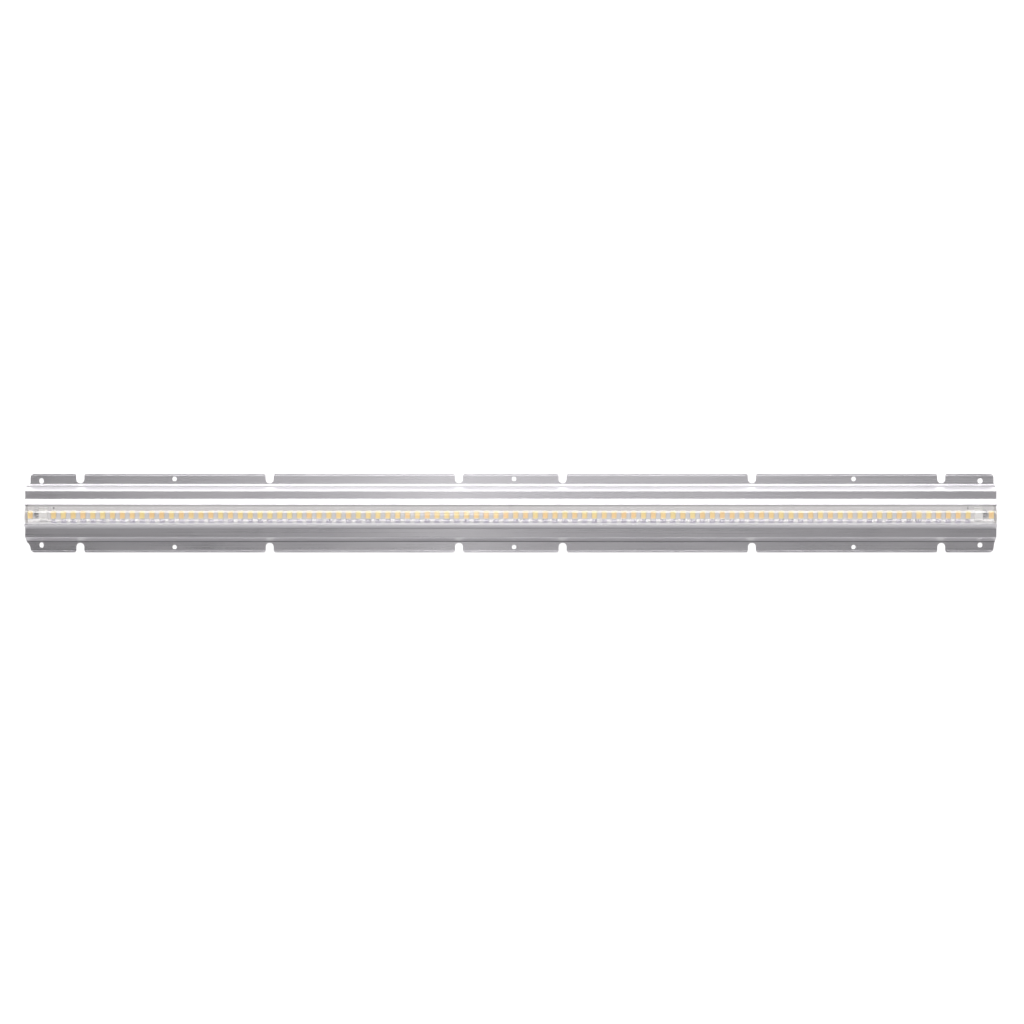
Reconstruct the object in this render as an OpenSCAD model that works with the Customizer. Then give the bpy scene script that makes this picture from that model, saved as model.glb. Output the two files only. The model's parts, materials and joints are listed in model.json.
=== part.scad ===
// Linear LED grow-light bar for vertical racks and greenhouse benches.
// A stepped "top hat" aluminium extrusion is the body and heat sink. Its
// centre channel holds two white LED boards on thermal pads under one clear
// half-round lens. The two flanges carry open notches, screw holes, end slots
// and end holes. The feed cables and their screw-locked connectors lie in the
// hollow under the body.
//
// Frame: X along the bar (left is -X), Y across it (front is -Y, rear is +Y),
// Z the way the light leaves. The origin is at the middle of the bar, on the
// plane of the flanges' undersides. Millimetres.

/* [LED row] */
// Distance between neighbouring LEDs
led_pitch = 12; // [11.8:0.1:12.2]
// LEDs in the even row, without the lone LED at each end
led_row = 94; // [90:2:94]
// Distance from the even row to the lone LED at each end
end_gap = 28.4; // [28:0.1:31]
// Distance from the lone LED to the end of the body
end_margin = 6.6; // [6.6:0.1:7]
// Side of the square LED package
led_side = 6.6; // [6:0.1:6.6]
// Distance of the LED row from the centre line, towards the front
led_off = 0.8; // [0:0.1:1]
// Height of the LED package
led_h = 1.0; // [0.8:0.1:1.2]

/* [Body section] */
// Overall width across the flanges
body_w = 96.6; // [95:0.2:99]
// Thickness of the flanges
flange_t = 2; // [1.8:0.1:2.2]
// Half width at the foot of the lower slopes
foot_y = 35; // [34.8:0.1:35.2]
// Half width at the outer edge of the shelves
shelf_out = 28.3; // [28:0.1:28.6]
// Half width at the inner edge of the shelves
shelf_in = 18.1; // [17.8:0.1:18.4]
// Height of the shelves
shelf_z = 12.5; // [12.2:0.1:12.8]
// Height of the rims beside the lens
rim_z = 19; // [18.6:0.1:19.4]
// Half width of the slot that holds the lens
slot_y = 11.8; // [11.7:0.1:11.9]
// Half width of the channel that holds the boards
chan_y = 10.2; // [10.1:0.1:10.3]
// Height of the channel floor
floor_z = 9; // [8.8:0.1:9.2]
// Height of the ledges under the lens
ledge_z = 13.4; // [13.3:0.1:13.5]

/* [Flanges] */
// How far the flanges stop short of the body's left end
flange_back_left = 4.4; // [3.5:0.1:4.6]
// How far the flanges stop short of the body's right end
flange_back_right = 1.4; // [1:0.1:2]
// Radius of the flange corners
corner_r = 5.5; // [4:0.5:6]
// Width of the open notches
notch_w = 9.8; // [9:0.1:10]
// Depth of the open notches from the flange edge
notch_d = 11.7; // [11:0.1:11.9]
// Radius at the mouth of a notch
notch_lip = 2.7; // [2:0.1:3]
// Distance between the two middle notches
notch_mid = 127; // [120:1:134]
// Distance between the other notches
notch_pitch = 232; // [228:1:233]
// Diameter of the flange screw holes
hole_d = 5.5; // [5:0.1:6]
// Place of the middle screw holes along the bar
hole_mid = 4; // [0:0.5:8]
// Distance between the flange screw holes
hole_pitch = 416; // [400:1:420]
// Distance of the flange screw holes from the centre line
hole_y = 41.8; // [41.5:0.1:42.2]
// Width of the slots at the left end
slot_w = 5.2; // [5:0.1:5.4]
// Length of the slots at the left end
slot_l = 6.6; // [6.4:0.1:6.8]
// Diameter of the round holes at the right end
end_hole_d = 6.2; // [6:0.1:6.4]
// Distance of end slots and end holes from the centre line
end_hole_y = 39.3; // [39.2:0.1:39.6]

/* [Boards and lens] */
// Thickness of the thermal pads
pad_t = 0.3; // [0.2:0.05:0.4]
// Width of the LED boards
board_w = 20; // [19:0.1:20.1]
// Thickness of the LED boards
board_t = 1.6; // [1.4:0.1:1.6]
// Radius of the lens crown
lens_r = 12; // [11.9:0.05:12.1]
// Height of the lens crown above the mounting plane
lens_top = 22.5; // [22.3:0.1:22.7]
// Half width of the lens
lens_y = 11; // [10.9:0.05:11]

/* [Feed cables] */
// Diameter of the cable jacket
cable_d = 4; // [3.8:0.1:4]
// Diameter of one insulated core
core_d = 1.3; // [1.2:0.05:1.4]
// Radius of the cable bends
bend_r = 20; // [18:1:21]
// Distance of the connectors from the centre line
conn_y = 22.5; // [22:0.1:23]
// Diameter of the coupling rings
ring_d = 9.4; // [9.2:0.1:9.5]
// Radial clearance of the coupling rings on their sleeves
ring_gap = 0.05; // [0.02:0.01:0.1]

/* [Hidden] */
$fn = 48;
lap = 0.02; // overlap of joined solids

row_half = (led_row - 1) * led_pitch / 2;
body_end = row_half + end_gap + end_margin; // half length of the body
body_edge = body_w / 2;
lens_end = body_end - 2;
board_end = body_end - 3.2;

// Heights
board_z = floor_z + pad_t;
board_top = board_z + board_t;
lens_z = ledge_z + 0.2;     // underside of the lens
web_z = floor_z - 2;        // underside of the centre web
under_z = shelf_z - 2;      // underside of the shelves
cable_z = web_z - cable_d / 2 - 0.2;
core_z = board_top + 1.3;   // cores above the board
lens_axis_z = lens_top - lens_r;

// Places along the bar, each used at both ends
end_hole_x = body_end - 18;
grommet_x = body_end - 13.6;
jacket_x = body_end - 21;   // outer end of the cable jacket
term_x = body_end - 22.4;
clamp_x = body_end - 37;
bend_x = body_end - 48;     // start of the cable's S-bend
shell_x = body_end - 98;    // cable entry of the connector

// Places and radii shared by several pieces
web_y = 15;                 // half width of the centre web
core_y = 1.25;
grommet_r = 3.4;
clamp_hole_y = 12.6;

// ---- small tools ---------------------------------------------------------

function unit(v) = v / norm(v);

// Arc of radius r that rounds the corner at point between its neighbours
function corner(before, point, after, r, steps) =
  let (to_before = unit(before - point),
       to_after = unit(after - point),
       half_angle = acos(to_before * to_after) / 2,
       centre = point + unit(to_before + to_after) * (r / sin(half_angle)),
       first = point + to_before * (r / tan(half_angle)) - centre,
       last = point + to_after * (r / tan(half_angle)) - centre,
       start = atan2(first[1], first[0]),
       change = atan2(last[1], last[0]) - start,
       turn = change > 180 ? change - 360
         : change < -180 ? change + 360 : change)
  [for (i = [0 : steps])
    let (angle = start + turn * i / steps)
    centre + r * [cos(angle), sin(angle)]];

// A closed outline of [y, z, radius] with every corner rounded to its radius
function rounded(points, steps = 5) =
  let (count = len(points), flat = [for (p = points) [p[0], p[1]]])
  [for (i = [0 : count - 1])
    each (points[i][2] <= 0 ? [flat[i]]
      : corner(flat[(i + count - 1) % count], flat[i], flat[(i + 1) % count],
          points[i][2], steps))];

// A round bar or cone along +X from x0 to x1
module bar_x(x0, x1, r, y = 0, z = 0, r2 = undef)
  translate([x0, y, z]) rotate([0, 90, 0])
    cylinder(h = x1 - x0, r1 = r, r2 = r2 == undef ? r : r2);

module box_at(x0, x1, y0, y1, z0, z1)
  translate([x0, y0, z0]) cube([x1 - x0, y1 - y0, z1 - z0]);

// A bent round rod about Z, starting on +X
module bend(r, angle, d)
  rotate_extrude(angle = angle) translate([r, 0]) circle(d = d);

// Draws its children for the right end, or mirrored for the left end
module end_side(right) {
  if (right) children();
  else mirror([1, 0, 0]) children();
}

// ---- heat sink -----------------------------------------------------------

// Rear half of the body's section as [y, z, corner radius]
half_section = [
  // Channel, lens ledge and rim
  [chan_y, floor_z, 0.25],
  [chan_y, ledge_z, 0.15],
  [slot_y, ledge_z, 0.15],
  [slot_y, rim_z, 0.2],
  [slot_y + 0.75, rim_z, 0.35],
  // Shelf and lower slope, with a small step near its foot
  [shelf_in, shelf_z, 0.6],
  [shelf_out, shelf_z, 0.6],
  [foot_y - 2.0, 5.25, 0.25],
  [foot_y - 1.4, 5.05, 0.25],
  [foot_y, flange_t, 0.6],
  // Flange, with a V-groove near its edge
  [body_edge - 2.2, flange_t, 0],
  [body_edge - 1.9, flange_t - 0.25, 0],
  [body_edge - 1.6, flange_t, 0],
  [body_edge, flange_t, 0.25],
  [body_edge, 0, 0.25],
  // Underside, back to the centre web
  [foot_y - 1.1, 0, 0.8],
  [foot_y - 7.8, under_z, 1.2],
  [web_y + 2.8, under_z, 1.0],
  [web_y, web_z, 0.8]];

// Taper of the front flange's ends as [share of the set-back, y beyond foot_y]
flange_taper = [[0.3, 1.7], [0.6, 3.3], [0.85, 5.2]];

notch_x = [for (i = [0 : 2]) notch_mid / 2 + i * notch_pitch];
hole_x = [for (i = [-1 : 1]) hole_mid + i * hole_pitch];
cut_z = -1;          // bottom of the cuts through the flanges
cut_h = 5;
notch_top = 3.5;     // top of the notch cuts
cut_past = 2;        // how far cuts run past the body
corner_steps = 8;
clamp_bore_r = 1.5;

module body_section()
  polygon(rounded(concat(half_section,
    [for (i = [len(half_section) - 1 : -1 : 0])
      let (p = half_section[i]) [-p[0], p[1], p[2]]])));

// What is cut away at one flange end: the set-back and the rounded corner.
// The front flange tapers to its set-back, the rear one steps in at the foot
module flange_end_cut(back, taper) {
  corner_x = body_end - back - corner_r;
  translate([0, 0, cut_z]) linear_extrude(cut_h)
    polygon(concat(
      [[body_end + cut_past, foot_y + 0.5], [body_end, foot_y + 0.5]],
      taper ? [for (t = flange_taper) [body_end - t[0] * back, foot_y + t[1]]]
            : [[body_end - back, foot_y + 1.1]],
      [for (i = [0 : corner_steps])
        let (angle = i * 90 / corner_steps)
        [corner_x + corner_r * cos(angle),
         body_edge - corner_r + corner_r * sin(angle)]],
      [[corner_x, body_edge + cut_past],
       [body_end + cut_past, body_edge + cut_past]]));
}

// The rounded mouth of a notch in the +Y flange at x
module notch_lips(x)
  for (side = [0, 1]) translate([x, 0, 0]) mirror([side, 0, 0])
    difference() {
      box_at(notch_w / 2 - lap, notch_w / 2 + notch_lip,
        body_edge - notch_lip, body_edge + cut_past, cut_z, notch_top);
      translate([notch_w / 2 + notch_lip, body_edge - notch_lip, cut_z - 1])
        cylinder(h = 7, r = notch_lip);
    }

// An open notch in the +Y flange at x
module open_notch(x) {
  centre_y = body_edge - notch_d + notch_w / 2;
  translate([x, centre_y, cut_z])
    cylinder(h = notch_top - cut_z, d = notch_w);
  box_at(x - notch_w / 2, x + notch_w / 2, centre_y, body_edge + cut_past,
    cut_z, notch_top);
  notch_lips(x);
}

module flange_hole(x, y, d)
  translate([x, y, cut_z]) cylinder(h = cut_h, d = d);

// The slot across the left end of the +Y flange
module end_slot() {
  reach = (slot_l - slot_w) / 2;
  for (side = [-1, 1])
    flange_hole(-end_hole_x, end_hole_y + side * reach, slot_w);
  box_at(-end_hole_x - slot_w / 2, -end_hole_x + slot_w / 2,
    end_hole_y - reach, end_hole_y + reach, cut_z, cut_z + cut_h);
}

module heat_sink() color("#b9babd") difference() {
  rotate([90, 0, 90]) linear_extrude(2 * body_end, center = true)
    body_section();
  for (front = [0, 1]) mirror([0, front, 0]) {
    flange_end_cut(flange_back_right, front == 1);
    mirror([1, 0, 0]) flange_end_cut(flange_back_left, front == 1);
    for (x = notch_x) {
      open_notch(x);
      open_notch(-x);
    }
    for (x = hole_x) flange_hole(x, hole_y, hole_d);
    flange_hole(end_hole_x, end_hole_y, end_hole_d);
    end_slot();
  }
  for (end = [-1, 1]) {
    translate([end * grommet_x, 0, 0]) cylinder(h = 12, r = grommet_r);
    for (side = [-1, 1])
      translate([end * clamp_x, side * clamp_hole_y, web_z - 1])
        cylinder(h = 6.2, r = clamp_bore_r);
  }
}

// ---- boards and LEDs -----------------------------------------------------

mid_gap = 0.2;         // from the middle of the bar to each board
pad_inset = [0.2, 0.3]; // pad edge inside the board edge: end, side
led_wall = 0.3;        // wall and base of the LED housing
phosphor_drop = 0.1;   // phosphor below the housing's top
housing_color = "#f6f3ee";
phosphor_color = "#e9c277";

module grommet_bore(r) translate([grommet_x, 0, 0]) cylinder(h = 20, r = r);

module thermal_pad(right) color("#8f9499") end_side(right) difference() {
  half_w = board_w / 2 - pad_inset[1];
  box_at(mid_gap, board_end - pad_inset[0], -half_w, half_w, floor_z, board_z);
  grommet_bore(grommet_r + 0.2);
}
module thermal_pad_left() thermal_pad(false);
module thermal_pad_right() thermal_pad(true);

module led_board(right) color("#eeeef0") end_side(right) difference() {
  box_at(mid_gap, board_end, -board_w / 2, board_w / 2, board_z, board_top);
  grommet_bore(grommet_r + 0.1);
}
module led_board_left() led_board(false);
module led_board_right() led_board(true);

// Places its children at each LED of one board
module at_leds(right) end_side(right) {
  for (i = [0 : led_row / 2 - 1])
    translate([led_pitch / 2 + i * led_pitch, -led_off, board_top]) children();
  translate([body_end - end_margin, -led_off, board_top]) children();
}

// The inside of an LED housing, up to height top
module led_window(top) {
  half_w = led_side / 2 - led_wall;
  box_at(-half_w, half_w, -half_w, half_w, led_wall, top);
}

module led_housing() difference() {
  box_at(-led_side / 2, led_side / 2, -led_side / 2, led_side / 2, 0, led_h);
  led_window(led_h + 1);
}
module led_housings_left() color(housing_color) at_leds(false) led_housing();
module led_housings_right() color(housing_color) at_leds(true) led_housing();

module led_phosphor() led_window(led_h - phosphor_drop);
module led_phosphors_left() color(phosphor_color) at_leds(false) led_phosphor();
module led_phosphors_right() color(phosphor_color) at_leds(true) led_phosphor();

resistor = [1.6, 0.8, 0.45];
resistor_pitches = [13.5, 14.3, 40.4, 41.2, 46.5]; // places in LED pitches
resistor_front_y = -5.3;
resistor_rear_y = 4.6; // those beside the last LEDs of the even row

module resistor_at(x, y)
  translate([x - resistor[0] / 2, y - resistor[1] / 2, board_top])
    cube(resistor);

// Small resistors beside some of the LEDs of each board
module smd_resistors() color("#34353a")
  for (end = [-1, 1]) {
    for (place = resistor_pitches)
      resistor_at(end * place * led_pitch, resistor_front_y);
    resistor_at(end * row_half, resistor_rear_y);
  }

link = [5.2, 1.6, 0.3];
link_y = 7.2;

// Two flat straps that join the boards' circuits at the middle of the bar
module board_links() color("#c9c9cc")
  for (side = [-1, 1])
    translate([-link[0] / 2, side * link_y - link[1] / 2, board_top])
      cube(link);

term_half = 5;        // half side of the square wire terminal
term_h = 2.4;
wire_bore_r = 0.75;
term_slot_y = 3.4;
term_slot_half = 0.6;

// Terminal with two wire bores, a slot beside each and a notch on its inner
// face
module wire_terminal(right) color("#f2f2f0") end_side(right) difference() {
  box_at(term_x - term_half, term_x + term_half, -term_half, term_half,
    board_top, board_top + term_h);
  for (side = [-1, 1]) {
    bar_x(term_x - 1, term_x + term_half + 1, wire_bore_r, side * core_y,
      core_z);
    box_at(term_x - 2.5, term_x + 1.5, side * term_slot_y - term_slot_half,
      side * term_slot_y + term_slot_half, board_top + 1.5, board_top + 3);
  }
  box_at(term_x - term_half - 1, term_x - 3.8, -1.2, 1.2,
    board_top + 1.2, board_top + 3);
}
module wire_terminal_left() wire_terminal(false);
module wire_terminal_right() wire_terminal(true);

// ---- lens, gaskets and end plugs -----------------------------------------

gasket_rise = 1.7;            // top of the gasket above the ledge
gasket_inset = 0.15;          // gasket foot inside the slot wall
plug_start = board_end + 0.1;
plug_end = body_end - 0.8;
plug_chamfer = 0.3;
plug_r = lens_r - 0.3;

module lens_cover() color([0.93, 0.96, 0.97, 0.4]) intersection() {
  bar_x(-lens_end, lens_end, lens_r, 0, lens_axis_z, $fn = 96);
  box_at(-lens_end - 1, lens_end + 1, -lens_y, lens_y, lens_z, lens_top + 5);
}

// L-shaped silicone strip: its foot lies on the ledge, its leg fills the gap
// between the lens and the rim
module lens_gasket() color("#c4c6c9") {
  box_at(-lens_end, lens_end, lens_y, slot_y, lens_z - lap,
    ledge_z + gasket_rise);
  box_at(-lens_end, lens_end, chan_y, slot_y - gasket_inset, ledge_z, lens_z);
}
module lens_gasket_rear() lens_gasket();
module lens_gasket_front() mirror([0, 1, 0]) lens_gasket();

// Block that fills the channel end, with a cap that continues the lens
module end_plug(right) color([0.9, 0.92, 0.9, 0.7]) end_side(right) {
  translate([plug_start, 0, 0]) rotate([90, 0, 90])
    linear_extrude(plug_end - plug_start) polygon([
      [plug_chamfer - chan_y, floor_z], [chan_y - plug_chamfer, floor_z],
      [chan_y, floor_z + plug_chamfer], [chan_y, lens_z],
      [-chan_y, lens_z], [-chan_y, floor_z + plug_chamfer]]);
  intersection() {
    bar_x(lens_end, plug_end, plug_r, 0, lens_axis_z, $fn = 96);
    box_at(lens_end - 1, body_end, -lens_y, lens_y, lens_z - lap,
      lens_top + 5);
  }
}
module end_plug_left() end_plug(false);
module end_plug_right() end_plug(true);

// ---- feed cables ---------------------------------------------------------

bush_lip = 0.8;        // thickness of the bush's lip under the web
bush_bore_r = 2;
riser_r = 3;           // core bend under the bush
turn_r = core_z - (board_top - 0.7); // core bend above the bush
sweep = 60;            // angle of each half of the cable's S-bend
sleeve_t = 0.15;       // marker sleeve on the cable
clamp_half = 4;        // half length of the clamp along the bar
clamp_t = 1;
white_core_color = "#e8e8e6";
grey_core_color = "#8f9195";

// Rubber bush that leads the two cores up through web, pad and board
module grommet(right) color("#b4b6b9") end_side(right)
  translate([grommet_x, 0, 0]) difference() {
    union() {
      translate([0, 0, web_z - bush_lip]) cylinder(h = bush_lip, r = 4.6);
      translate([0, 0, web_z - lap])
        cylinder(h = board_top + 0.2 - web_z + lap, r = grommet_r);
    }
    translate([0, 0, web_z - 2]) cylinder(h = 10, r = bush_bore_r);
    translate([0, 0, web_z - bush_lip - lap])
      cylinder(h = 1.2, r1 = 3.1, r2 = bush_bore_r);
  }
module grommet_left() grommet(false);
module grommet_right() grommet(true);

// One insulated core, from the end of the jacket, up through the bush and
// over into the terminal
module core(right, y) end_side(right) {
  riser_z = cable_z + riser_r;
  bar_x(jacket_x, grommet_x - riser_r, core_d / 2, y, cable_z);
  translate([grommet_x - riser_r, y, riser_z]) rotate([90, 0, 0])
    rotate([0, 0, -90]) bend(riser_r, 90, core_d);
  translate([grommet_x, y, riser_z])
    cylinder(h = core_z - turn_r - riser_z, d = core_d);
  translate([grommet_x - turn_r, y, core_z - turn_r]) rotate([90, 0, 0])
    bend(turn_r, 90, core_d);
  bar_x(term_x + 1, grommet_x - turn_r, core_d / 2, y, core_z);
}
module core_white_left() color(white_core_color) core(false, core_y);
module core_white_right() color(white_core_color) core(true, core_y);
module core_grey_left() color(grey_core_color) core(false, -core_y);
module core_grey_right() color(grey_core_color) core(true, -core_y);

// Jacketed cable: straight under the clamp, an S-bend into the hollow under
// the front shelf, then straight into the connector. A short marker sleeve
// sits in the middle of the S-bend.
module power_cable(right) color("#2a2b2d") end_side(right) {
  straight = (conn_y - 2 * bend_r * (1 - cos(sweep))) / sin(sweep);
  sleeve_x = bend_x - bend_r * sin(sweep);
  sleeve_y = bend_r * (cos(sweep) - 1);
  run_x = sleeve_x - straight * cos(sweep) - bend_r * sin(sweep);
  bar_x(bend_x, jacket_x, cable_d / 2, 0, cable_z);
  translate([bend_x, -bend_r, cable_z]) rotate([0, 0, 90])
    bend(bend_r, sweep, cable_d);
  translate([sleeve_x, sleeve_y, cable_z]) rotate([0, 0, 180 + sweep])
    bar_x(-1, straight + 1, cable_d / 2 + sleeve_t);
  translate([run_x, bend_r - conn_y, cable_z]) rotate([0, 0, -90])
    bend(bend_r, sweep, cable_d);
  translate([run_x, -conn_y, cable_z]) rotate([0, 0, 180])
    bar_x(0, run_x - shell_x + shell_bore_end, cable_d / 2);
}
module power_cable_left() power_cable(false);
module power_cable_right() power_cable(true);

// Steel saddle that holds the jacket against the web
module cable_clamp(right) color("#c7c8ca") end_side(right) {
  x0 = clamp_x - clamp_half;
  x1 = clamp_x + clamp_half;
  jacket_r = cable_d / 2;
  saddle_r = jacket_r + clamp_t;
  difference() {
    union() {
      box_at(x0, x1, -web_y, web_y, web_z - clamp_t, web_z);
      box_at(x0, x1, -saddle_r, saddle_r, cable_z, web_z);
      bar_x(x0, x1, saddle_r, 0, cable_z);
    }
    bar_x(x0 - 1, x1 + 1, jacket_r, 0, cable_z);
    box_at(x0 - 1, x1 + 1, -jacket_r, jacket_r, cable_z, web_z + 1);
    box_at(x0 - 1, x1 + 1, -5, 5, web_z, web_z + 4);
    for (side = [-1, 1])
      translate([clamp_x, side * clamp_hole_y, web_z - 2])
        cylinder(h = 4, r = 1.6);
  }
}
module cable_clamp_left() cable_clamp(false);
module cable_clamp_right() cable_clamp(true);

// Screw with its head under the clamp and a hexagon socket
module clamp_screw() {
  head_h = 1.9;
  seat_z = web_z - clamp_t;
  difference() {
    union() {
      translate([0, 0, seat_z - head_h])
        cylinder(h = head_h, r1 = 2.3, r2 = 2.8);
      translate([0, 0, seat_z - lap])
        cylinder(h = 5.5, r = clamp_bore_r - 0.05);
    }
    translate([0, 0, web_z - 3.5]) cylinder(h = 1.7, r = 1.15, $fn = 6);
  }
}
module clamp_screws() color("#d4d5d7")
  for (end = [-1, 1]) for (side = [-1, 1])
    translate([end * clamp_x, side * clamp_hole_y, 0]) clamp_screw();

// ---- connectors ----------------------------------------------------------
// Both are drawn along +X from the cable entry at x = 0 and then laid into
// the hollow, facing the middle of the bar.

relief_end = 12;       // end of the tapered bend relief
relief_r = 3.6;
grip_start = 14;
grip_end = 25.9;
grip_r = 4.6;
sleeve_end = 31;
sleeve_r = 2.9;
shell_bore_end = 20;
collar_end = 32;       // collar of the insert
collar_r = 3.25;
contact_y = 1;
pin_r = 0.5;
pin_end = 38.2;
contact_r = 0.8;
contact_start = 33;
ring_start = 26.2;
ring_chamfer = 0.4;
ring_step = 30.8;      // where the ring's bore widens
plug_ring_end = 33;
barrel_r = 4;          // narrow barrel of the plug's ring
barrel_end = 38.8;
nut_end = 40.2;
shell_color = "#26272a";
insert_color = "#3a3b3f";
contact_color = "#d8b15a";
ring_color = "#c9ccd0";

// Lays a connector on the left or right cable
module on_conn(right) {
  if (right)
    translate([shell_x, -conn_y, cable_z]) mirror([1, 0, 0]) children();
  else
    translate([-shell_x, -conn_y, cable_z]) children();
}

// Moulded rear shell with a grooved bend relief, a recess in its top and
// underside, and the sleeve the ring runs on
module conn_shell() difference() {
  union() {
    bar_x(0, relief_end, 2.75, r2 = relief_r);
    bar_x(relief_end - lap, grip_start, relief_r, r2 = grip_r);
    bar_x(grip_start - lap, grip_end, grip_r);
    bar_x(grip_end - lap, sleeve_end, sleeve_r);
  }
  bar_x(-1, shell_bore_end, cable_d / 2);
  for (x = [2.2, 4.6, 7.0, 9.4]) difference() {
    bar_x(x, x + 1.1, 6);
    bar_x(x - 1, x + 3, 2.5);
  }
  for (z = [-6, 4.3]) box_at(16, 24, -1.6, 1.6, z, z + 1.7);
}

module insert_collar() bar_x(sleeve_end, collar_end, collar_r);

// Grip flutes round a coupling ring
module flutes(x0, x1)
  for (i = [0 : 17]) rotate([i * 20, 0, 0])
    bar_x(x0, x1, 0.42, 0, ring_d / 2 + 0.12, $fn = 16);

// Solid coupling ring with chamfered ends, up to x = end
module ring_blank(end) {
  r = ring_d / 2;
  bar_x(ring_start, ring_start + ring_chamfer, r - ring_chamfer, r2 = r);
  bar_x(ring_start + ring_chamfer - lap, end - ring_chamfer, r);
  bar_x(end - ring_chamfer - lap, end, r, r2 = r - ring_chamfer);
}

// Stepped bore of a coupling ring, cut up to x = end
module ring_bore(end, wide_r) {
  bar_x(25, end, sleeve_r + ring_gap);
  bar_x(ring_step, end, wide_r);
}

module plug_shell() color(shell_color) on_conn(false) conn_shell();
module plug_insert() color(insert_color) on_conn(false) difference() {
  union() {
    insert_collar();
    bar_x(collar_end - lap, 39.6, 2.6);
  }
  bar_x(35, 41, 2.1);
  for (side = [-1, 1]) bar_x(30, 36, pin_r, side * contact_y);
}
module plug_pins() color(contact_color) on_conn(false)
  for (side = [-1, 1]) {
    bar_x(sleeve_end, pin_end, pin_r, side * contact_y);
    bar_x(pin_end - lap, pin_end + 0.4, pin_r, side * contact_y, r2 = 0.25);
  }
module plug_seal() color("#17181a") on_conn(false)
  translate([32.5, 0, 0]) rotate([0, 90, 0])
    rotate_extrude() translate([2.975, 0]) circle(r = 0.34);
module plug_coupling_screw() color(ring_color) on_conn(false) difference() {
  union() {
    ring_blank(plug_ring_end);
    bar_x(plug_ring_end - lap, barrel_end, barrel_r);
    bar_x(barrel_end - lap, barrel_end + 0.4, barrel_r, r2 = 3.7);
  }
  ring_bore(41, 3.35);
  flutes(27, 32.2);
}

module socket_shell() color(shell_color) on_conn(true) conn_shell();
module socket_insert() color(insert_color) on_conn(true) difference() {
  union() {
    insert_collar();
    bar_x(collar_end - lap, 40, 2.05);
  }
  for (side = [-1, 1])
    bar_x(contact_start, 41, contact_r, side * contact_y);
}
module socket_contacts() color(contact_color) on_conn(true)
  for (side = [-1, 1]) difference() {
    bar_x(contact_start, 39.5, contact_r, side * contact_y);
    bar_x(34, 40, pin_r + 0.02, side * contact_y);
  }
module socket_coupling_nut() color(ring_color) on_conn(true) difference() {
  ring_blank(nut_end);
  ring_bore(42, 3.55);
  flutes(27.2, 36);
}

heat_sink();
thermal_pad_left();
thermal_pad_right();
led_board_left();
led_board_right();
led_housings_left();
led_housings_right();
led_phosphors_left();
led_phosphors_right();
smd_resistors();
board_links();
wire_terminal_left();
wire_terminal_right();
lens_cover();
lens_gasket_front();
lens_gasket_rear();
end_plug_left();
end_plug_right();
grommet_left();
grommet_right();
core_white_left();
core_white_right();
core_grey_left();
core_grey_right();
power_cable_left();
power_cable_right();
cable_clamp_left();
cable_clamp_right();
clamp_screws();
plug_shell();
plug_insert();
plug_pins();
plug_seal();
plug_coupling_screw();
socket_shell();
socket_insert();
socket_contacts();
socket_coupling_nut();
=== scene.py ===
import json
import math

import bmesh
import bpy
from mathutils import Matrix, Vector


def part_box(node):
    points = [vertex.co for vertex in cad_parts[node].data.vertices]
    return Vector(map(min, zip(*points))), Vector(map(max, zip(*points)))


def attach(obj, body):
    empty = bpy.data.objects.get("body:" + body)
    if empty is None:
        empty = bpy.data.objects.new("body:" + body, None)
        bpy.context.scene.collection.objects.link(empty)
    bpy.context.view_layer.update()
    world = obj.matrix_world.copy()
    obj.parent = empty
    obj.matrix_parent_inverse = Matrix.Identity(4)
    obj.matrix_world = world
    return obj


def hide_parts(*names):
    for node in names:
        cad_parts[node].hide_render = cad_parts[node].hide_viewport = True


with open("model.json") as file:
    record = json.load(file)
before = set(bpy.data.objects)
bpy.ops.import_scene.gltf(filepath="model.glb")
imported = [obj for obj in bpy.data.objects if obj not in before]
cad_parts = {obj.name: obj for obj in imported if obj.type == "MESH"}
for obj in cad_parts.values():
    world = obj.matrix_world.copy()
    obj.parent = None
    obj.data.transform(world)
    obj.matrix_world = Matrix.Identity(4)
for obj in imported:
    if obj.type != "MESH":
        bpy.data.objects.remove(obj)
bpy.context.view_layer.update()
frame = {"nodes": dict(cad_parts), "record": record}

MM = 0.001
sc = bpy.context.scene

# ---------------------------------------------------------------------------
# Sizes, taken from the frame where a node gives them
# ---------------------------------------------------------------------------
lo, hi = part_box("heat_sink")
HX, HY = hi.x / MM, hi.y / MM                    # half length, half width
FT, FOOT, SO, SI, SZ, RZ = 2.0, 35.0, 28.3, 18.1, 12.5, 19.0
SLOT, CHAN, FZ, LZ = 11.8, 10.2, 9.0, 13.4
WEB, BLK, UZ = 7.0, 15.0, 10.5
lo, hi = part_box("led_board_right")
TOP = hi.z / MM                                  # face of the boards
lo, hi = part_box("lens_cover")
LHX, LY, LB, LT = hi.x / MM, hi.y / MM, lo.z / MM, hi.z / MM
LR = 12.0
PITCH, ROW = 12.0, 94
CZ = 4.8                                         # height of the cable axis
CONN_Y = -22.5
SHELL_X = HX - 98.0
LED_X = [PITCH / 2 + i * PITCH for i in range(ROW // 2)] + [HX - 6.6]
LED_Y = -0.8


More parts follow.
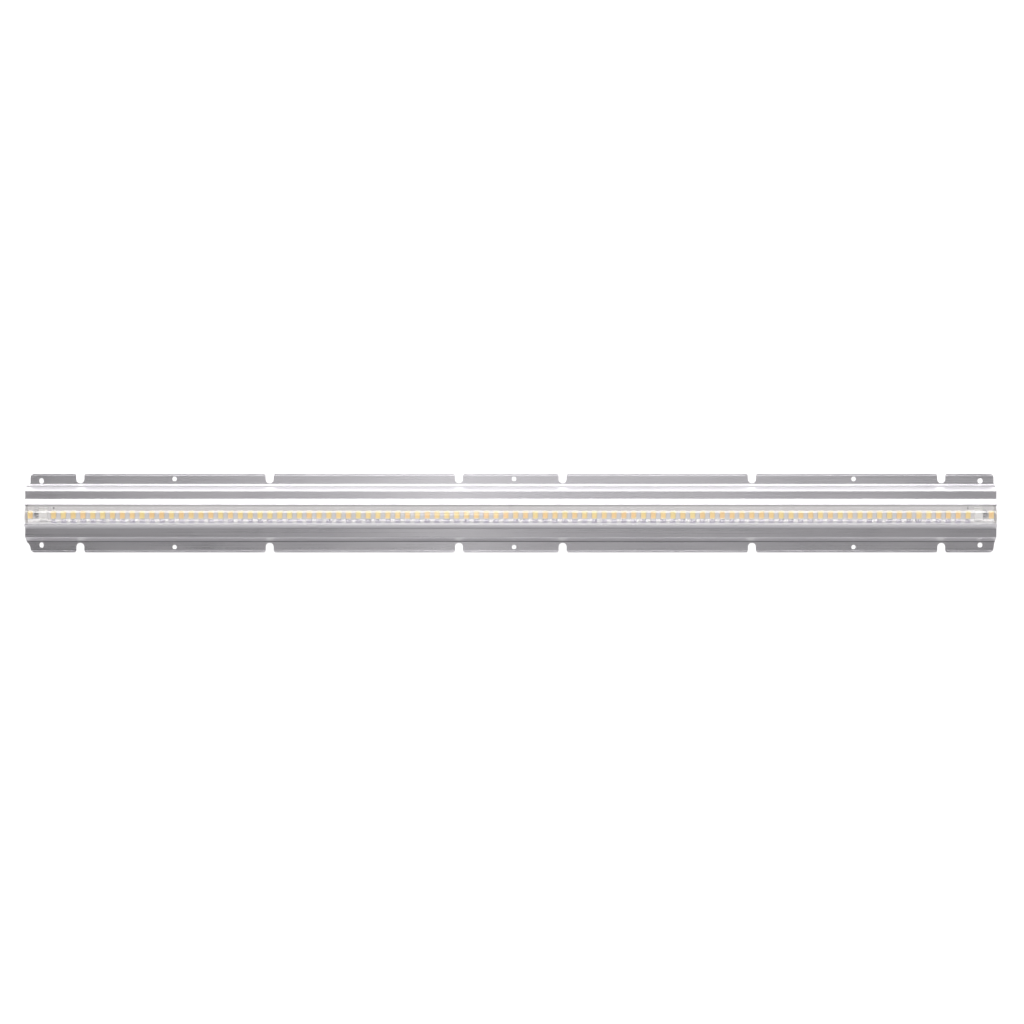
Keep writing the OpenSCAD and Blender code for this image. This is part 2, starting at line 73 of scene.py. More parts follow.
# ---------------------------------------------------------------------------
# Mesh tools
# ---------------------------------------------------------------------------
def make(name, verts, faces, body="bar", slot=None, stand_for=(), mat=None,
         smooth=None, weighted=False, ride=True):
    me = bpy.data.meshes.new(name)
    me.from_pydata([(x * MM, y * MM, z * MM) for x, y, z in verts], [], faces)
    me.validate()
    bm = bmesh.new()
    bm.from_mesh(me)
    bmesh.ops.recalc_face_normals(bm, faces=bm.faces)
    bm.to_mesh(me)
    bm.free()
    ob = bpy.data.objects.new(name, me)
    sc.collection.objects.link(ob)
    if smooth is not None:
        shade(ob, smooth, weighted)
    if mat is not None:
        me.materials.append(mat)
    if ride:
        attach(ob, body)
        if stand_for:
            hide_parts(*stand_for)
    return ob


def shade(ob, angle=35, weighted=False):
    me = ob.data
    for p in me.polygons:
        p.use_smooth = True
    me.set_sharp_from_angle(angle=math.radians(angle))
    if weighted:
        m = ob.modifiers.new("normals", "WEIGHTED_NORMAL")
        m.mode = "FACE_AREA"
        m.weight = 70
        m.keep_sharp = True


def unit(v):
    n = math.hypot(*v)
    return (v[0] / n, v[1] / n)


def corner(p, q, s, r, n):
    a, b = unit((p[0] - q[0], p[1] - q[1])), unit((s[0] - q[0], s[1] - q[1]))
    half = math.acos(max(-1, min(1, a[0] * b[0] + a[1] * b[1]))) / 2
    m = unit((a[0] + b[0], a[1] + b[1]))
    c = (q[0] + m[0] * r / math.sin(half), q[1] + m[1] * r / math.sin(half))
    t = r / math.tan(half)
    p0, p1 = (q[0] + a[0] * t, q[1] + a[1] * t), (q[0] + b[0] * t, q[1] + b[1] * t)
    a0 = math.atan2(p0[1] - c[1], p0[0] - c[0])
    d = math.atan2(p1[1] - c[1], p1[0] - c[0]) - a0
    d = d - 2 * math.pi if d > math.pi else d + 2 * math.pi if d < -math.pi else d
    return [(c[0] + r * math.cos(a0 + d * i / n), c[1] + r * math.sin(a0 + d * i / n))
            for i in range(n + 1)]


def rounded(pts, n=5):
    out = []
    for i, b in enumerate(pts):
        a, c = pts[i - 1], pts[(i + 1) % len(pts)]
        out += [(b[0], b[1])] if b[2] <= 0 else corner(a[:2], b[:2], c[:2], b[2], n)
    return out


def area(pts):
    return sum(pts[i - 1][0] * pts[i][1] - pts[i][0] * pts[i - 1][1]
               for i in range(len(pts))) / 2


def grown(pts, d):
    """The outline moved outwards by d along its corners' normals."""
    if area(pts) < 0:
        pts = pts[::-1]
    out = []
    for i, q in enumerate(pts):
        p, s = pts[i - 1], pts[(i + 1) % len(pts)]
        e0, e1 = unit((q[0] - p[0], q[1] - p[1])), unit((s[0] - q[0], s[1] - q[1]))
        n0, n1 = (e0[1], -e0[0]), (e1[1], -e1[0])
        k = 1 + n0[0] * n1[0] + n0[1] * n1[1]
        k = max(k, 0.5)
        out.append((q[0] + d * (n0[0] + n1[0]) / k, q[1] + d * (n0[1] + n1[1]) / k))
    return out


def loft(rings, cap=True):
    """Closed solid through rings of equal length: verts, faces."""
    n = len(rings[0])
    v = [p for r in rings for p in r]
    f = []
    for k in range(len(rings) - 1):
        for i in range(n):
            j = (i + 1) % n
            f.append((k * n + i, k * n + j, (k + 1) * n + j, (k + 1) * n + i))
    if cap:
        f.append(tuple(range(n - 1, -1, -1)))
        f.append(tuple(range((len(rings) - 1) * n, len(rings) * n)))
    return v, f


def merge(parts):
    v, f = [], []
    for pv, pf in parts:
        o = len(v)
        v += pv
        f += [tuple(i + o for i in q) for q in pf]
    return v, f


def flip_x(part):
    return [(-x, y, z) for x, y, z in part[0]], [q[::-1] for q in part[1]]


def moved(part, dx=0, dy=0, dz=0):
    return [(x + dx, y + dy, z + dz) for x, y, z in part[0]], part[1]


def along_x(outline, stations):
    """Section in (y, z) carried along X. stations: (x, growth)."""
    return loft([[(x, y, z) for y, z in (grown(outline, g) if g else
                                         (outline if area(outline) > 0 else outline[::-1]))]
                 for x, g in stations])


def plate(outline, levels):
    """Outline in (x, y) carried up Z. levels: (z, growth)."""
    return loft([[(x, y, z) for x, y in grown(outline, g)] for z, g in levels])


def circle(r, n, cx=0.0, cy=0.0, phase=0.0):
    return [(cx + r * math.cos(phase + 2 * math.pi * i / n),
             cy + r * math.sin(phase + 2 * math.pi * i / n)) for i in range(n)]


def lathe(profile, n=64, mod=None, closed=False):
    """Turned solid about X. profile: (u, r). mod(u, r, angle) -> r."""
    rings = []
    for u, r in profile:
        ring = []
        for i in range(n):
            t = 2 * math.pi * i / n
            q = mod(u, r, t) if mod else r
            ring.append((u, q * math.cos(t), q * math.sin(t)))
        rings.append(ring)
    v, f = loft(rings, cap=False)
    k = len(rings)
    if closed:
        for i in range(n):
            j = (i + 1) % n
            f.append(((k - 1) * n + i, (k - 1) * n + j, j, i))
    else:
        f.append(tuple(range(n - 1, -1, -1)))
        f.append(tuple(range((k - 1) * n, k * n)))
    return v, f


def sweep(path, r, n=32, cap_r=0.25):
    """Round bar of radius r along a list of points."""
    pts = [Vector(p) for p in path]
    tans = []
    for i in range(len(pts)):
        a, b = pts[max(i - 1, 0)], pts[min(i + 1, len(pts) - 1)]
        tans.append((b - a).normalized())
    up = Vector((0, 0, 1)) if abs(tans[0].z) < 0.9 else Vector((0, 1, 0))
    side = tans[0].cross(up).normalized()
    rings = []
    rad = [r] * len(pts)
    for i, (p, t) in enumerate(zip(pts, tans)):
        side = (side - t * side.dot(t)).normalized()
        nrm = t.cross(side)
        rings.append([tuple(p + (side * math.cos(a) + nrm * math.sin(a)) * rad[i])
                      for a in (2 * math.pi * k / n for k in range(n))])
    first = [tuple(pts[0] + (Vector(q) - pts[0]) * (1 - cap_r / r)) for q in rings[0]]
    last = [tuple(pts[-1] + (Vector(q) - pts[-1]) * (1 - cap_r / r)) for q in rings[-1]]
    rings[0] = [tuple(Vector(q) + tans[0] * cap_r) for q in rings[0]]
    rings[-1] = [tuple(Vector(q) - tans[-1] * cap_r) for q in rings[-1]]
    return loft([first] + rings + [last])


def cut(ob, cutter):
    """Exact boolean difference, applied to the mesh."""
    m = ob.modifiers.new("cut", "BOOLEAN")
    m.operation, m.solver, m.object = "DIFFERENCE", "EXACT", cutter
    bpy.context.view_layer.update()
    dg = bpy.context.evaluated_depsgraph_get()
    me = bpy.data.meshes.new_from_object(ob.evaluated_get(dg))
    ob.modifiers.remove(m)
    old = ob.data
    ob.data = me
    me.name = old.name
    bpy.data.objects.remove(cutter)
    return ob


# ---------------------------------------------------------------------------
# Node materials
# ---------------------------------------------------------------------------
class Nodes:
    def __init__(self, name):
        self.mat = bpy.data.materials.new(name)
        self.mat.use_nodes = True
        self.t = self.mat.node_tree
        self.bsdf = self.t.nodes["Principled BSDF"]
        self.out = self.t.nodes["Material Output"]
        self.co = self.t.nodes.new("ShaderNodeTexCoord").outputs["Object"]

    def new(self, kind, **kw):
        n = self.t.nodes.new(kind)
        for k, v in kw.items():
            setattr(n, k, v)
        return n

    def link(self, a, b):
        self.t.links.new(a, b)

    def put(self, n, name, v):
        s = n.inputs[name] if isinstance(name, str) else n.inputs[name]
        if hasattr(v, "is_output"):
            self.link(v, s)
        else:
            s.default_value = v

    def scaled(self, scale):
        m = self.new("ShaderNodeMapping")
        self.link(self.co, m.inputs["Vector"])
        m.inputs["Scale"].default_value = scale
        return m.outputs["Vector"]

    def noise(self, scale, vec=None, detail=3.0, rough=0.5, seed=0.0):
        n = self.new("ShaderNodeTexNoise", noise_dimensions="4D")
        n.inputs["W"].default_value = seed
        n.inputs["Scale"].default_value = scale
        n.inputs["Detail"].default_value = detail
        n.inputs["Roughness"].default_value = rough
        self.link(vec if vec is not None else self.co, n.inputs["Vector"])
        return n.outputs["Fac"]

    def math(self, op, a, b=None, c=None, clamp=False):
        n = self.new("ShaderNodeMath", operation=op, use_clamp=clamp)
        self.put(n, 0, a)
        if b is not None:
            self.put(n, 1, b)
        if c is not None:
            self.put(n, 2, c)
        return n.outputs[0]

    def ramp(self, fac, lo, hi, a=0.3, b=0.7):
        n = self.new("ShaderNodeMapRange")
        self.put(n, "Value", fac)
        n.inputs["From Min"].default_value = a
        n.inputs["From Max"].default_value = b
        n.inputs["To Min"].default_value = lo
        n.inputs["To Max"].default_value = hi
        return n.outputs["Result"]

    def mix(self, fac, a, b, mode="MIX"):
        n = self.new("ShaderNodeMix", data_type="RGBA", blend_type=mode)
        self.put(n, 0, fac)
        self.put(n, 6, a)
        self.put(n, 7, b)
        return n.outputs[2]

    def xyz(self, vec=None):
        n = self.new("ShaderNodeSeparateXYZ")
        self.link(vec if vec is not None else self.co, n.inputs[0])
        return n.outputs

    def bump(self, height, strength, dist, normal=None):
        n = self.new("ShaderNodeBump")
        n.inputs["Strength"].default_value = strength
        n.inputs["Distance"].default_value = dist
        self.link(height, n.inputs["Height"])
        if normal is not None:
            self.link(normal, n.inputs["Normal"])
        return n.outputs["Normal"]

    def set(self, **kw):
        for k, v in kw.items():
            self.put(self.bsdf, k.replace("_", " "), v)
        return self


def rgb(r, g, b):
    return (r, g, b, 1.0)


LEAN, FRONT = 0.048, 1.0


def aluminium():
    """Satin clear-anodised extrusion: fine die lines run along the bar."""
    m = Nodes("anodised_aluminium")
    lines = m.noise(1.0, m.scaled((3.0, 2600.0, 2600.0)), 2.0, 0.6, 1.0)
    broad = m.noise(1.0, m.scaled((1.2, 420.0, 420.0)), 2.0, 0.5, 4.0)
    grain = m.noise(5200.0, None, 2.0, 0.5, 2.0)
    cloud = m.noise(9.0, m.scaled((0.8, 3.0, 3.0)), 3.0, 0.55, 7.0)
    col = m.mix(m.ramp(lines, 0.0, 1.0, 0.35, 0.65), rgb(0.705, 0.692, 0.718),
                rgb(0.760, 0.747, 0.770))
    col = m.mix(m.ramp(broad, 0.0, 0.35, 0.3, 0.7), col, rgb(0.68, 0.667, 0.695))
    col = m.mix(m.ramp(cloud, 0.0, 0.25, 0.4, 0.75), col, rgb(0.79, 0.78, 0.79))
    rough = m.math("ADD", m.ramp(lines, 0.26, 0.34), m.ramp(cloud, -0.02, 0.03))
    rough = m.math("ADD", rough, m.ramp(grain, -0.02, 0.02))
    h = m.math("ADD", m.math("MULTIPLY", lines, 0.7), m.math("MULTIPLY", grain, 0.25))
    # the front flats lean outwards a touch, as the die leaves them
    geo = m.new("ShaderNodeNewGeometry")
    nz = m.xyz(geo.outputs["Normal"])[2]
    front = m.math("MULTIPLY", m.ramp(m.xyz()[1], 1.0, 0.0, -0.019, -0.012),
                   m.ramp(nz, 0.0, 1.0, 0.90, 0.97), clamp=True)
    lean = m.new("ShaderNodeCombineXYZ")
    m.link(m.math("MULTIPLY", front, -LEAN), lean.inputs[1])
    add = m.new("ShaderNodeVectorMath", operation="ADD")
    m.link(geo.outputs["Normal"], add.inputs[0])
    m.link(lean.outputs[0], add.inputs[1])
    unit_n = m.new("ShaderNodeVectorMath", operation="NORMALIZE")
    m.link(add.outputs[0], unit_n.inputs[0])
    # painted shade: the front flats' colour is darkened towards black by 1 − FRONT; at FRONT = 1.0 none is painted
    col = m.mix(m.math("MULTIPLY", front, 1.0 - FRONT), col, rgb(0, 0, 0))
    # painted shade: the crease at the foot of the front slope is darkened in colour, where occlusion would darken it
    crease_shade = m.math("ABSOLUTE", m.math("ADD", m.xyz()[1], 0.0350))
    crease_shade = m.math("MULTIPLY", m.ramp(crease_shade, 1.0, 0.0, 0.0003, 0.0007),
                    m.ramp(nz, 0.0, 1.0, 0.0, 0.2), clamp=True)
    col = m.mix(m.math("MULTIPLY", crease_shade, 0.62), col, rgb(0.05, 0.05, 0.05))
    m.set(Base_Color=col, Metallic=1.0, Roughness=rough,
          Normal=m.bump(h, 0.10, 0.00004, unit_n.outputs[0]), Coat_Weight=0.6,
          Coat_Roughness=0.10, Coat_IOR=1.5)
    return m.mat


def board():
    """White solder mask over copper tracks, with painted shade and shadows in front of the LED row and the metal core
    showing at the edges.
    """
    m = Nodes("board_white")
    x, y, z = m.xyz()
    ay = m.math("ABSOLUTE", y)
    # long supply tracks under the mask, 1.4 mm wide, either side of the row
    tr = None
    for c, w in ((0.0046, 0.0009), (0.0071, 0.0008), (0.0090, 0.0003)):
        d = m.math("ABSOLUTE", m.math("SUBTRACT", ay, c))
        s = m.ramp(d, 1.0, 0.0, w - 0.00005, w + 0.00005)
        tr = s if tr is None else m.math("MAXIMUM", tr, s)
    tr = m.math("MULTIPLY", tr, 1.0, clamp=True)
    # cross links between tracks at every LED
    ph = m.math("ABSOLUTE", m.math("SUBTRACT", m.math("FRACT", m.math(
        "MULTIPLY", m.math("ADD", x, 1.2), 1 / 0.012)), 0.5))
    link = m.ramp(ph, 1.0, 0.0, 0.05, 0.06)
    link = m.math("MULTIPLY", link, m.ramp(ay, 1.0, 0.0, 0.0071, 0.0072))
    tr = m.math("MAXIMUM", tr, link, clamp=True)
    speck = m.noise(2600.0, None, 2.0, 0.6, 3.0)
    base = m.mix(m.ramp(speck, 0.0, 0.12), rgb(0.70, 0.695, 0.695), rgb(0.65, 0.645, 0.645))
    # painted shadow: a darker lilac patch in front of every LED, where its shadow falls, except at the lone LED near
    # each end
    u = m.math("ABSOLUTE", m.math("SUBTRACT", m.math("FRACT", m.math(
        "MULTIPLY", m.math("ADD", x, 1.2), 1 / 0.012)), 0.5))
    led_shadow = m.ramp(u, 1.0, 0.0, 0.24, 0.34)
    led_shadow = m.math("MULTIPLY", led_shadow, m.ramp(y, 1.0, 0.0, -0.0046, -0.0038), clamp=True)
    led_shadow = m.math("MULTIPLY", led_shadow, m.ramp(y, 0.0, 1.0, -0.0092, -0.0086), clamp=True)
    led_shadow = m.math("MULTIPLY", led_shadow, m.ramp(m.math("ABSOLUTE", x), 1.0, 0.0, 0.562, 0.563),
                 clamp=True)
    # painted shade: the board in front of the LED row (y below −3.4 mm) is darkened by up to 12 %
    base = m.mix(m.ramp(y, 0.12, 0.0, -0.0050, -0.0034), base, rgb(0.0, 0.0, 0.0))
    face = m.mix(led_shadow, base, rgb(0.35, 0.33, 0.405))
    face = m.mix(m.math("MULTIPLY", tr, 0.08), face, rgb(0.62, 0.66, 0.66))
    geo = m.new("ShaderNodeNewGeometry")
    nz = m.math("ABSOLUTE", m.xyz(geo.outputs["Normal"])[2])
    side = m.ramp(nz, 1.0, 0.0, 0.4, 0.6)
    core = m.mix(m.noise(900.0, m.scaled((1.0, 1.0, 9.0)), 2.0), rgb(0.50, 0.51, 0.52),
                 rgb(0.66, 0.67, 0.68))
    m.set(Base_Color=m.mix(side, face, core), Metallic=m.math("MULTIPLY", side, 0.8),
          Roughness=m.ramp(speck, 0.50, 0.62),
          Normal=m.bump(m.math("ADD", tr, m.math("MULTIPLY", speck, 0.15)), 0.35, 0.00005))
    m.bsdf.inputs["Specular IOR Level"].default_value = 0.3
    return m.mat


def phosphor():
    """Yellow phosphor in clear gel. Each LED differs a little from the next."""
    m = Nodes("led_phosphor")
    x, y, z = m.xyz()
    cell = m.math("FLOOR", m.math("MULTIPLY", m.math("ADD", x, 1.2), 1 / 0.012))
    wn = m.new("ShaderNodeTexWhiteNoise", noise_dimensions="1D")
    m.link(cell, wn.inputs["W"])
    pick = wn.outputs["Value"]
    cloud = m.noise(900.0, None, 3.0, 0.6, 5.0)
    fine = m.noise(7000.0, None, 2.0, 0.6, 6.0)
    base = m.mix(pick, rgb(1.0, 0.67, 0.33), rgb(0.99, 0.82, 0.34))
    base = m.mix(m.ramp(cloud, 0.0, 0.40), base, rgb(1.0, 0.84, 0.52))
    base = m.mix(m.ramp(fine, 0.0, 0.18), base, rgb(0.92, 0.60, 0.24))
    m.set(Base_Color=base, Roughness=m.ramp(fine, 0.28, 0.42), Coat_Weight=0.5,
          Coat_Roughness=0.08, Normal=m.bump(cloud, 0.15, 0.00008))
    m.bsdf.inputs["Subsurface Weight"].default_value = 0.25
    m.bsdf.inputs["Subsurface Radius"].default_value = (0.0012, 0.0008, 0.0004)
    m.bsdf.inputs["Subsurface Scale"].default_value = 0.5
    return m.mat


def plain(name, a, b, scale, rough=(0.35, 0.5), metal=0.0, bump=0.1, dist=0.00003,
          seed=1.0, stretch=(1, 1, 1), **kw):
    """Two-tone mottled surface with its own grain in roughness and relief."""
    m = Nodes(name)
    v = m.scaled(stretch)
    n1 = m.noise(scale, v, 4.0, 0.6, seed)
    n2 = m.noise(scale * 6.0, v, 2.0, 0.5, seed + 3)
    m.set(Base_Color=m.mix(m.ramp(n1, 0.0, 1.0), rgb(*a), rgb(*b)), Metallic=metal,
          Roughness=m.ramp(n2, *rough), Normal=m.bump(m.math(
              "ADD", m.math("MULTIPLY", n1, 0.5), m.math("MULTIPLY", n2, 0.5)), bump, dist),
          **kw)
    return m.mat


def clear(name, tint, ior, rough, let):
    """Clear moulding that bends what is seen through it and lets lamps light the inside."""
    m = Nodes(name)
    n = m.noise(60.0, m.scaled((0.4, 1.0, 1.0)), 3.0, 0.5, 2.0)
    m.set(Base_Color=rgb(*tint), Roughness=m.ramp(n, rough * 0.7, rough * 1.3), IOR=ior)
    m.bsdf.inputs["Transmission Weight"].default_value = 1.0
    tr = m.new("ShaderNodeBsdfTransparent")
    tr.inputs["Color"].default_value = rgb(*let)
    lp = m.new("ShaderNodeLightPath")
    fac = m.math("MAXIMUM", lp.outputs["Is Shadow Ray"], lp.outputs["Is Diffuse Ray"])
    mx = m.new("ShaderNodeMixShader")
    m.link(fac, mx.inputs[0])
    m.link(m.bsdf.outputs[0], mx.inputs[1])
    m.link(tr.outputs[0], mx.inputs[2])
    m.link(mx.outputs[0], m.out.inputs["Surface"])
    return m.mat


def milky(name, col):
    """Translucent cast silicone: part of the light goes through, softly."""
    m = Nodes(name)
    n = m.noise(300.0, None, 3.0, 0.5, 2.0)
    m.set(Base_Color=m.mix(n, rgb(*col), rgb(*[c * 0.94 for c in col])),
          Roughness=m.ramp(n, 0.28, 0.4), IOR=1.41)
    m.bsdf.inputs["Subsurface Weight"].default_value = 0.6
    m.bsdf.inputs["Subsurface Radius"].default_value = (0.004, 0.004, 0.004)
    m.bsdf.inputs["Subsurface Scale"].default_value = 0.6
    return m.mat


ALU = aluminium()
MAT = {
    "anodised_aluminium": ALU,
    "thermal_pad": plain("thermal_pad", (0.33, 0.35, 0.37), (0.42, 0.44, 0.46), 500, (0.6, 0.8), seed=3),
    "board_white": board(),
    "led_white": plain("led_white", (0.86, 0.83, 0.78), (0.90, 0.88, 0.84), 1800, (0.28, 0.4), bump=0.08, seed=5),
    "led_phosphor": phosphor(),
    "resistor_black": plain("resistor_black", (0.03, 0.03, 0.035), (0.07, 0.07, 0.075), 3000, (0.3, 0.45), seed=6),
    "tinned_copper": plain("tinned_copper", (0.36, 0.36, 0.37), (0.46, 0.46, 0.46), 2500, (0.60, 0.74), 0.2, 0.3, seed=7),
    "terminal_white": plain("terminal_white", (0.80, 0.80, 0.78), (0.86, 0.86, 0.84), 900, (0.4, 0.55), seed=8),
    "lens_clear": clear("lens_clear", (0.995, 0.985, 0.99), 1.49, 0.02, (0.925, 0.92, 0.915)),
    "silicone_grey": plain("silicone_grey", (0.64, 0.64, 0.65), (0.71, 0.71, 0.72), 700, (0.45, 0.6), seed=9),
    "silicone_clear": milky("silicone_clear", (0.74, 0.73, 0.73)),
    "grommet_rubber": plain("grommet_rubber", (0.50, 0.505, 0.51), (0.58, 0.585, 0.59), 1200, (0.5, 0.65), seed=10),
    "core_white": plain("core_white", (0.76, 0.76, 0.74), (0.82, 0.82, 0.80), 900, (0.3, 0.42), seed=11),
    "core_grey": plain("core_grey", (0.60, 0.60, 0.605), (0.67, 0.67, 0.675), 900, (0.3, 0.42), seed=12),
    "cable_jacket": plain("cable_jacket", (0.022, 0.023, 0.025), (0.040, 0.041, 0.044), 1500, (0.42, 0.58), bump=0.25, dist=0.00006, seed=13),
    "clamp_steel": plain("clamp_steel", (0.58, 0.58, 0.59), (0.70, 0.70, 0.70), 420, (0.26, 0.42), 1.0, 0.15, seed=14, stretch=(1, 0.15, 1)),
    "screw_steel": plain("screw_steel", (0.60, 0.61, 0.62), (0.74, 0.74, 0.74), 1500, (0.18, 0.34), 1.0, 0.12, seed=15),
    "connector_shell": plain("connector_shell", (0.018, 0.019, 0.021), (0.035, 0.036, 0.038), 2200, (0.48, 0.62), bump=0.4, dist=0.00006, seed=16),
    "connector_insert": plain("connector_insert", (0.03, 0.03, 0.033), (0.055, 0.055, 0.06), 1500, (0.35, 0.5), seed=17),
    "contact_gold": plain("contact_gold", (0.78, 0.52, 0.18), (0.88, 0.64, 0.28), 1800, (0.15, 0.28), 1.0, 0.08, seed=18),
    "seal_rubber": plain("seal_rubber", (0.012, 0.012, 0.012), (0.02, 0.02, 0.02), 1500, (0.5, 0.65), seed=19),
    "ring_nickel": plain("ring_nickel", (0.62, 0.60, 0.56), (0.74, 0.72, 0.68), 700, (0.16, 0.32), 1.0, 0.1, seed=20),
}
for row in frame["record"]["subparts"]:
    ob = frame["nodes"][row["node"]]
    ob.data.materials.clear()
    ob.data.materials.append(MAT[row["material_slot"]])


def soften(node, width, weld=1e-6, angle=35):
    """Breaks the sharp edges of a CAD node that stays in view."""
    ob = frame["nodes"][node]
    w = ob.modifiers.new("weld", "WELD")
    w.merge_threshold = weld
    b = ob.modifiers.new("edges", "BEVEL")
    b.width, b.segments, b.limit_method = width * MM, 2, "ANGLE"
    b.angle_limit = math.radians(angle)
    b.harden_normals = False
    for p in ob.data.polygons:
        p.use_smooth = True
    n = ob.modifiers.new("normals", "WEIGHTED_NORMAL")
    n.keep_sharp = True


# ---------------------------------------------------------------------------
# Heat sink
# ---------------------------------------------------------------------------
half = [
    (CHAN, FZ, 0.25), (CHAN, LZ, 0.15), (SLOT, LZ, 0.15), (SLOT, RZ, 0.2),
    (SLOT + 0.75, RZ, 0.35), (SI, SZ, 0.6), (SO, SZ, 0.6), (FOOT - 2.35, 5.15, 0.12),
    (FOOT - 1.25, 5.12, 0.12), (FOOT, FT, 0.6), (HY - 2.2, FT, 0), (HY - 1.9, FT - 0.25, 0),
    (HY - 1.6, FT, 0), (HY, FT, 0.25), (HY, 0, 0.25), (FOOT - 1.1, 0, 0.8),
    (FOOT - 7.8, UZ, 1.2), (BLK + 2.8, UZ, 1.0), (BLK, WEB, 0.8)]
front = [(FOOT - 2.0, 5.25, 0.25) if p[1] == 5.15 else (FOOT - 1.4, 5.05, 0.25) if p[1] == 5.12
         else p for p in half]
section = rounded(half + [(-y, z, r) for y, z, r in front[::-1]], 7)
v, f = along_x(section, [(-HX, -0.11), (-HX + 0.12, 0), (HX - 0.12, 0), (HX, -0.11)])
sink = make("heat_sink_body", v, f, ride=False)

NW, ND, NL = 9.8, 11.7, 2.7
CR = 5.5
yc = HY - ND + NW / 2


def arc(cx, cy, r, a0, a1, n):
    return [(cx + r * math.cos(math.radians(a0 + (a1 - a0) * i / n)),
             cy + r * math.sin(math.radians(a0 + (a1 - a0) * i / n))) for i in range(n + 1)]


notch = ([(-NW / 2 - NL, HY + 1.5)] + arc(-NW / 2 - NL, HY - NL, NL, 90, 0, 12)
         + arc(0, yc, NW / 2, 180, 360, 32)
         + arc(NW / 2 + NL, HY - NL, NL, 180, 90, 12) + [(NW / 2 + NL, HY + 1.5)])
slot_out = arc(0, 0.7, 2.6, 0, 180, 18) + arc(0, -0.7, 2.6, 180, 360, 18)


def end_cut(back, taper):
    f = HX - back
    step = ([(HX - t * back, FOOT + d) for t, d in
             ((0.85, 5.2), (0.6, 3.3), (0.45, 2.4), (0.3, 1.7), (0.13, 1.0))]
            if taper else [(f, FOOT + 1.5), (f + 0.1, FOOT + 1.2), (f + 0.4, FOOT + 0.95)])
    return ([(HX + 3, FOOT + 0.5), (HX + 3, HY + 3), (f - CR, HY + 3)]
            + arc(f - CR, HY - CR, CR, 90, 0, 14) + step + [(HX - 0.02, FOOT + 0.5)])


C = 0.18
LEVELS = [(-0.6, C + 0.6), (C, 0), (FT - C, 0), (FT + 0.7, C + 0.7)]
cutters = []


def drill(outline, x, y, sx=1, sy=1, levels=LEVELS):
    pts = [(x + sx * a, (y + b) * sy) for a, b in outline]
    cutters.append(plate(pts, levels))


for sy in (1, -1):
    for x in (63.5, 295.5, 527.5):
        drill(notch, x, 0, 1, sy)
        drill(notch, -x, 0, 1, sy)
    for x in (-412.0, 4.0, 420.0):
        drill(circle(2.75, 40), x, 41.8, 1, sy)
    drill(circle(3.1, 44), HX - 18, 39.3, 1, sy)
    drill(slot_out, 18 - HX, 39.3, 1, sy)
    for sx, back in ((1, 1.4), (-1, 4.4)):
        pts = [(sx * a, b * sy) for a, b in end_cut(back, sy < 0)]
        cutters.append(plate(pts, [(-0.6, C + 0.6), (C, 0), (FT - C, 0), (FT + 0.7, C + 0.7)]))
for sx in (1, -1):
    cutters.append(plate(circle(3.4, 40, sx * (HX - 13.6), 0), [(WEB - 1, 0), (FZ + 1, 0)]))
    for sy in (1, -1):
        cutters.append(plate(circle(1.5, 24, sx * (HX - 37), sy * 12.6), [(WEB - 1, 0), (WEB + 5.2, 0)]))
cv, cf = merge(cutters)
cutter = make("cutter", cv, cf, ride=False)
cut(sink, cutter)
sink.data.materials.clear()
sink.data.materials.append(ALU)
shade(sink, 38, True)
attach(sink, "bar")
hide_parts("heat_sink")

# ---------------------------------------------------------------------------
# LEDs
# ---------------------------------------------------------------------------
N = 40


def square_ring(h, k, z, cham=0.0):
    """Rounded square of half side h as N points by angle; one corner may be cut."""
    out = []
    for i in range(N):
        t = 2 * math.pi * (i + 0.5) / N
        c, s = math.cos(t), math.sin(t)
        q = h / ((abs(c) ** k + abs(s) ** k) ** (1 / k))
        x, y = q * c, q * s
        if cham and x > 0 and y < 0 and x - y > 2 * h - cham:
            d = (x - y - (2 * h - cham)) / 2
            x, y = x - d, y + d
        out.append((x, y, z))
    return out


package = loft([square_ring(3.12, 24, 0.03, 0.9), square_ring(3.26, 24, 0.12, 1.0),
                square_ring(3.30, 24, 0.35, 1.0), square_ring(3.28, 24, 0.92, 1.0),
                square_ring(3.24, 24, 1.00, 1.0), square_ring(3.14, 12, 1.00, 0.7),
                square_ring(3.08, 12, 0.95, 0.7), square_ring(2.93, 11, 0.34),
                square_ring(2.75, 11, 0.30)])
gel = loft([square_ring(2.89, 11, 0.345), square_ring(3.05, 12, 0.87, 0.7),
            square_ring(2.93, 11, 0.845), square_ring(2.2, 7, 0.82),
            square_ring(1.2, 3, 0.80), square_ring(0.4, 2, 0.795)])


def wedge(x0, x1, y, h):
    """Solder fillet that climbs from x0 on the board to x1 at the package."""
    p = [(x0, 0.0), (x0 + (x1 - x0) * 0.5, h * 0.25), (x1, h), (x1, 0.0)]
    rings = [[(a, yy, 0.01 + b * k) for a, b in p] for yy, k in
             ((-y, 0.4), (-y + 0.15, 1.0), (y - 0.15, 1.0), (y, 0.4))]
    return loft(rings)


solder = merge([wedge(-3.75, -3.15, 2.0, 0.34), wedge(3.75, 3.15, 2.0, 0.34)])
for side, s in (("left", -1), ("right", 1)):
    for nm, tmpl, node, mat in (("led_packages_", package, "led_housings_", "led_white"),
                                ("led_gel_", gel, "led_phosphors_", "led_phosphor"),
                                ("led_solder_", solder, None, "tinned_copper")):
        v, f = merge([moved(tmpl, s * x, LED_Y, TOP) for x in LED_X])
        make(nm + side, v, f, slot=mat, stand_for=(node + side,) if node else (),
             mat=MAT[mat], smooth=40)

# ---------------------------------------------------------------------------
# Lens, gaskets, end plugs
# ---------------------------------------------------------------------------
LC = LT - LR
a_edge = math.degrees(math.asin(LY / LR))


